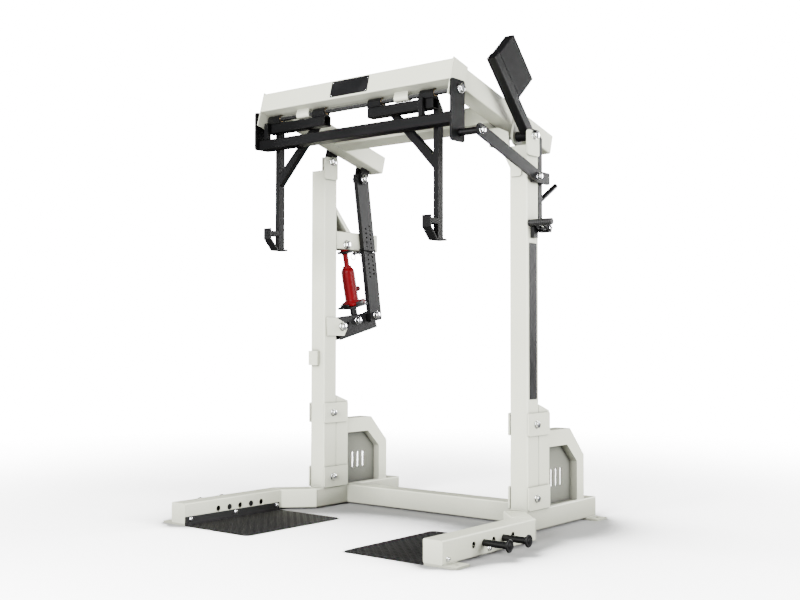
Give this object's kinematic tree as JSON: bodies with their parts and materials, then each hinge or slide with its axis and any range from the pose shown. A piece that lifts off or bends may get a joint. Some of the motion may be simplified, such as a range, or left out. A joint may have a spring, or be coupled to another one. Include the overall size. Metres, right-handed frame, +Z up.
{
  "type": "monolift",
  "caption": "Squat rack whose two swinging hooks hang from a shaft on a tilting, jack-raised top frame, with a weighted release lever and heavy tube base.",
  "frame": {"origin": "middle of the base on the floor", "axes": "+Z up, +Y to the rear, away from the side a lifter walks out of; +X to the right seen from the front"},
  "size_m": [1.974, 1.54, 2.3957],
  "materials": {
    "white_paint": "satin powder coat, ivory white",
    "tread_paint": "black coated tread plate",
    "zinc_steel": "bright zinc plated steel",
    "black_paint": "satin powder coat, black",
    "red_paint": "gloss red enamel",
    "label_strip": "matte black film",
    "face_plate": "satin black",
    "bronze": "sintered bronze"
  },
  "bodies": {
    "stand": {"left_foot_tube": "white_paint", "right_foot_tube": "white_paint", "bend_tubes": "white_paint", "rear_tubes": "white_paint", "base_cross_tube": "white_paint", "anchor_plates": "white_paint", "tread_plates": "tread_paint", "tread_plate_bolts": "zinc_steel", "band_pegs": "black_paint", "left_upright": "white_paint", "right_upright": "white_paint", "pivot_ears": "white_paint", "pivot_bracket": "white_paint", "pivot_bolts": "zinc_steel", "clamp_plates": "white_paint", "clamp_bolts": "zinc_steel", "stub_posts": "white_paint", "rear_hoops": "white_paint", "hoop_panels": "white_paint", "jack_bracket": "white_paint", "lift_lever_ears": "white_paint", "latch_bracket": "black_paint", "upright_strip": "label_strip"},
    "top_frame": {"front_beam": "white_paint", "beam_end_plates": "white_paint", "frame_arms": "white_paint", "frame_crossmember": "white_paint", "beam_face_plate": "face_plate", "shaft_hangers": "white_paint", "frame_lugs": "black_paint", "right_pivot_lug": "white_paint", "lug_bushes": "bronze", "link_top_bolt": "zinc_steel"},
    "hook_shaft": {"hook_shaft": "zinc_steel"},
    "release_frame": {"release_side_plates": "black_paint", "release_crossbar": "black_paint"},
    "front_link_bolt": {"link_front_bolt": "zinc_steel"},
    "release_link": {"release_link": "black_paint"},
    "release_lever": {"release_lever": "black_paint", "counterweight_arm": "black_paint", "counterweight": "black_paint", "link_rear_bolt": "zinc_steel"},
    "lock_latch": {"lock_latch": "black_paint"},
    "left_hook_bushes": {"left_hook_bushes": "bronze"},
    "left_hook": {"left_hook_tube": "black_paint", "left_hook_bar": "black_paint", "left_hook_jaw": "black_paint"},
    "right_hook_bushes": {"right_hook_bushes": "bronze"},
    "right_hook": {"right_hook_tube": "black_paint", "right_hook_bar": "black_paint", "right_hook_jaw": "black_paint"},
    "lift_lever": {"lift_lever": "black_paint", "lift_link_bolt": "zinc_steel"},
    "lift_link": {"lift_link": "black_paint"},
    "hitch_pin": {"hitch_pin": "zinc_steel"},
    "jack_ram": {"jack_ram": "red_paint"},
    "jack": {"jack_body": "red_paint", "jack_base": "black_paint"},
    "pump_socket": {"pump_socket": "red_paint"},
    "release_valve": {"release_valve": "zinc_steel"}
  },
  "joints": [
    {"name": "frame_tilt", "type": "hinge", "parent": "stand", "child": "top_frame", "pos_m": [0, 0.157, 1.937], "axis": [-1, 0, 0], "range_deg": [0, 18]},
    {"name": "shaft_turn", "type": "hinge", "parent": "top_frame", "child": "hook_shaft", "pos_m": [0, -0.33259, 2.09221], "axis": [1, 0, 0], "range_deg": [0, 18.5]},
    {"name": "release_frame_swing", "type": "hinge", "parent": "hook_shaft", "child": "release_frame", "pos_m": [0, -0.33259, 2.09221], "axis": [1, 0, 0], "range_deg": [0, 22.5]},
    {"name": "release_lever_swing", "type": "hinge", "parent": "stand", "child": "release_lever", "pos_m": [0.685, 0.157, 1.937], "axis": [1, 0, 0], "range_deg": [0, 22]},
    {"name": "front_link_bolt_turn", "type": "hinge", "parent": "release_frame", "child": "front_link_bolt", "pos_m": [0.69, -0.33259, 1.88721], "axis": [1, 0, 0], "range_deg": [-22.5, 0]},
    {"name": "release_link_turn", "type": "hinge", "parent": "front_link_bolt", "child": "release_link", "pos_m": [0.74, -0.33259, 1.88721], "axis": [-1, 0, 0], "range_deg": [0, 18.5]},
    {"name": "left_hook_slide", "type": "slide", "parent": "hook_shaft", "child": "left_hook_bushes", "axis": [1, 0, 0], "range_m": [-0.009, 0.08]},
    {"name": "left_hook_swing", "type": "hinge", "parent": "left_hook_bushes", "child": "left_hook", "pos_m": [-0.4015, -0.33259, 2.09221], "axis": [1, 0, 0], "range_deg": [0, 22.5]},
    {"name": "right_hook_slide", "type": "slide", "parent": "hook_shaft", "child": "right_hook_bushes", "axis": [1, 0, 0], "range_m": [-0.065, 0.055]},
    {"name": "right_hook_swing", "type": "hinge", "parent": "right_hook_bushes", "child": "right_hook", "pos_m": [0.2865, -0.33259, 2.09221], "axis": [1, 0, 0], "range_deg": [0, 22.5]},
    {"name": "lift_lever_turn", "type": "hinge", "parent": "stand", "child": "lift_lever", "pos_m": [-0.6344, 0.24412, 1.00625], "axis": [-1, 0, 0], "range_deg": [0, 13.2]},
    {"name": "lift_link_turn", "type": "hinge", "parent": "top_frame", "child": "lift_link", "pos_m": [-0.6, 0.39442, 1.86083], "axis": [1, 0, 0], "range_deg": [0, 21.5]},
    {"name": "hitch_pin_slide", "type": "slide", "parent": "lift_link", "child": "hitch_pin", "axis": [-1, 0, 0], "range_m": [0, 0.16]},
    {"name": "jack_swing", "type": "hinge", "parent": "stand", "child": "jack_ram", "pos_m": [-0.6344, 0.2875, 1.475], "axis": [1, 0, 0], "range_deg": [-0.4, 0]},
    {"name": "jack_stroke", "type": "slide", "parent": "jack_ram", "child": "jack", "axis": [0, 0.2255, -0.9742], "range_m": [0, 0.034]},
    {"name": "pump_stroke", "type": "slide", "parent": "jack", "child": "pump_socket", "axis": [0, -0.2255, 0.9742], "range_m": [0, 0.012]},
    {"name": "release_valve_turn", "type": "hinge", "parent": "jack", "child": "release_valve", "pos_m": [-0.6064, 0.44076, 1.16317], "axis": [0, 0.9742, 0.2255], "range_deg": [0, 180]},
    {"name": "lock_latch_turn", "type": "hinge", "parent": "stand", "child": "lock_latch", "pos_m": [0.74, 0.1866, 1.478], "axis": [-1, 0, 0], "range_deg": [-10, 20]}
  ],
  "couplings": [
    {"joint": "shaft_turn", "follows": "frame_tilt", "ratio": 1},
    {"joint": "release_link_turn", "follows": "frame_tilt", "ratio": 1},
    {"joint": "lift_link_turn", "follows": "frame_tilt", "ratio": 1.1762},
    {"joint": "lift_lever_turn", "follows": "frame_tilt", "ratio": 0.7189},
    {"joint": "jack_swing", "follows": "frame_tilt", "ratio": -0.0157},
    {"joint": "jack_stroke", "follows": "frame_tilt", "m_per_rad": 0.10595},
    {"joint": "release_frame_swing", "follows": "release_lever_swing", "ratio": 1},
    {"joint": "front_link_bolt_turn", "follows": "release_lever_swing", "ratio": -1},
    {"joint": "left_hook_swing", "follows": "release_lever_swing", "ratio": 1},
    {"joint": "right_hook_swing", "follows": "release_lever_swing", "ratio": 1}
  ]
}
